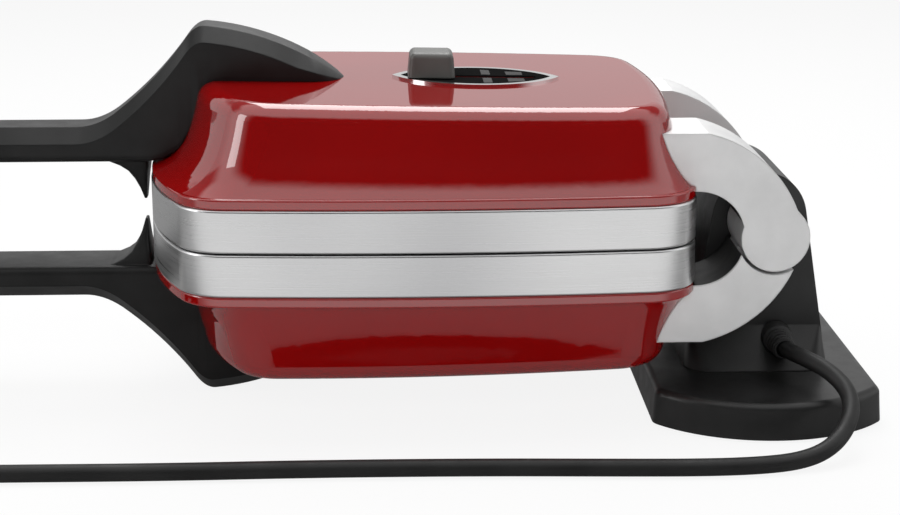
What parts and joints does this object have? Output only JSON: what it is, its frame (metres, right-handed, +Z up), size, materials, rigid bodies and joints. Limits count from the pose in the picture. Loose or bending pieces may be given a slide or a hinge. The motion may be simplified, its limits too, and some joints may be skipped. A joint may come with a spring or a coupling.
{
  "type": "heart waffle maker",
  "caption": "Countertop waffle iron with heart-shaped cavities; closed halves turn up on a black stand, the lid opens and a slider sets browning.",
  "frame": {"origin": "bottom centre of the bounding box of the closed iron and its stand, without the cord, on the table", "axes": "+X to the side the cord leaves from, -Y towards the handles, +Y towards the hinge, +Z up"},
  "size_m": [0.2482, 0.5385, 0.184],
  "materials": {
    "red_enamel": "glossy red enamel",
    "brushed_band": "steel brushed along its length",
    "coated_plate": "cast, with a dark release coating",
    "element_sheath": "drawn tube, heat tinted",
    "shield_sheet": "plain sheet",
    "screw_steel": "zinc plated",
    "terminal_ceramic": "unglazed",
    "cast_arm": "satin silver casting",
    "liner_black": "moulded, matt",
    "handle_black": "moulded, satin",
    "stand_black": "moulded, satin",
    "plate_steel": "plain sheet",
    "foot_rubber": "matt",
    "axle_steel": "ground",
    "washer_brass": "turned",
    "gland_rubber": "matt",
    "cord_jacket": "matt",
    "plug_black": "moulded, matt",
    "pin_metal": "nickel plated",
    "thermostat_case": "unglazed",
    "bezel_chrome": "polished",
    "inlay_black": "glossy with grey marks",
    "knob_black": "satin gloss",
    "carrier_plastic": "moulded"
  },
  "bodies": {
    "stand": {"stand_foot": "stand_black", "base_plate": "plate_steel", "base_screws": "screw_steel", "rubber_feet": "foot_rubber", "pedestal": "stand_black", "pedestal_screws": "screw_steel", "hinge_axle": "axle_steel", "hinge_washers": "washer_brass", "cable_gland": "gland_rubber", "power_cord": "cord_jacket", "cord_coil": "cord_jacket", "cord_tail": "cord_jacket", "power_plug": "plug_black", "plug_pins": "pin_metal"},
    "lower_half": {"lower_shell": "red_enamel", "lower_band": "brushed_band", "lower_waffle_plate": "coated_plate", "lower_heating_element": "element_sheath", "lower_heat_shield": "shield_sheet", "lower_shield_screws": "screw_steel", "lower_terminal_block": "terminal_ceramic", "lower_hinge_arms": "cast_arm", "lower_arm_liners": "liner_black", "lower_arm_bolts": "screw_steel", "lower_handle": "handle_black", "lower_handle_screws": "screw_steel"},
    "lid": {"upper_shell": "red_enamel", "upper_band": "brushed_band", "upper_waffle_plate": "coated_plate", "upper_heating_element": "element_sheath", "upper_heat_shield": "shield_sheet", "upper_shield_screws": "screw_steel", "upper_terminal_block": "terminal_ceramic", "upper_hinge_arms": "cast_arm", "upper_arm_liners": "liner_black", "upper_arm_bolts": "screw_steel", "upper_handle": "handle_black", "upper_handle_screws": "screw_steel", "thermostat": "thermostat_case", "slider_bezel": "bezel_chrome", "slider_inlay": "inlay_black"},
    "slider": {"slider_knob": "knob_black", "slider_carrier": "carrier_plastic"}
  },
  "joints": [
    {"name": "iron_turnover", "type": "hinge", "parent": "stand", "child": "lower_half", "pos_m": [0, 0.18, 0.092], "axis": [-1, 0, 0], "range_deg": [0, 90]},
    {"name": "lid_hinge", "type": "hinge", "parent": "lower_half", "child": "lid", "pos_m": [0, 0.18, 0.092], "axis": [-1, 0, 0], "range_deg": [0, 90]},
    {"name": "browning_slide", "type": "slide", "parent": "lid", "child": "slider", "axis": [0, 0.9998, -0.0176], "range_m": [0, 0.044]}
  ]
}
